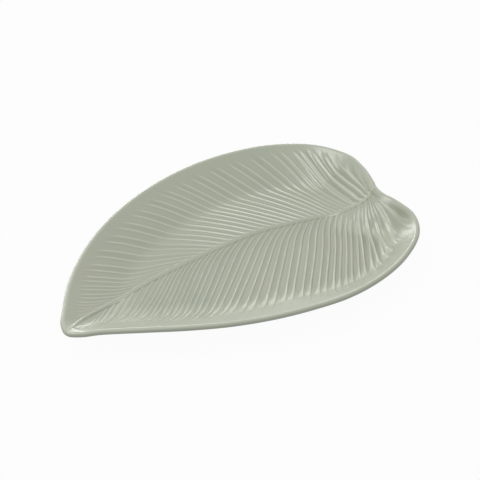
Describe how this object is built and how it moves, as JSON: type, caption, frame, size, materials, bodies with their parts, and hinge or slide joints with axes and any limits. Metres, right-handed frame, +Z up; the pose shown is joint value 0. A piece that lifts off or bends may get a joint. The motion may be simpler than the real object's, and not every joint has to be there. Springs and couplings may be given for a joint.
{
  "type": "leaf-shaped serving platter",
  "caption": "Shallow stoneware serving platter shaped as a broad leaf, with a pointed tip, a notch between two lobes, raised veins on a sloped wall and a thin rounded rim.",
  "frame": {"origin": "middle of the bounding box in plan, on the plane that the foot ring stands on", "axes": "+X from the pointed tip to the notch between the lobes, +Y towards the half of larger reach, +Z up out of the dish"},
  "size_m": [0.3496, 0.2338, 0.031],
  "materials": {
    "bare_clay": "matt bare stoneware, seen only on the foot ring",
    "glaze_upper": "satin sage green glaze, paler on the raised veins and the rim",
    "glaze_under": "satin sage green glaze"
  },
  "bodies": {
    "root": {"stoneware_body": "bare_clay", "glaze_face": "glaze_upper", "glaze_base": "glaze_under"}
  },
  "joints": []
}
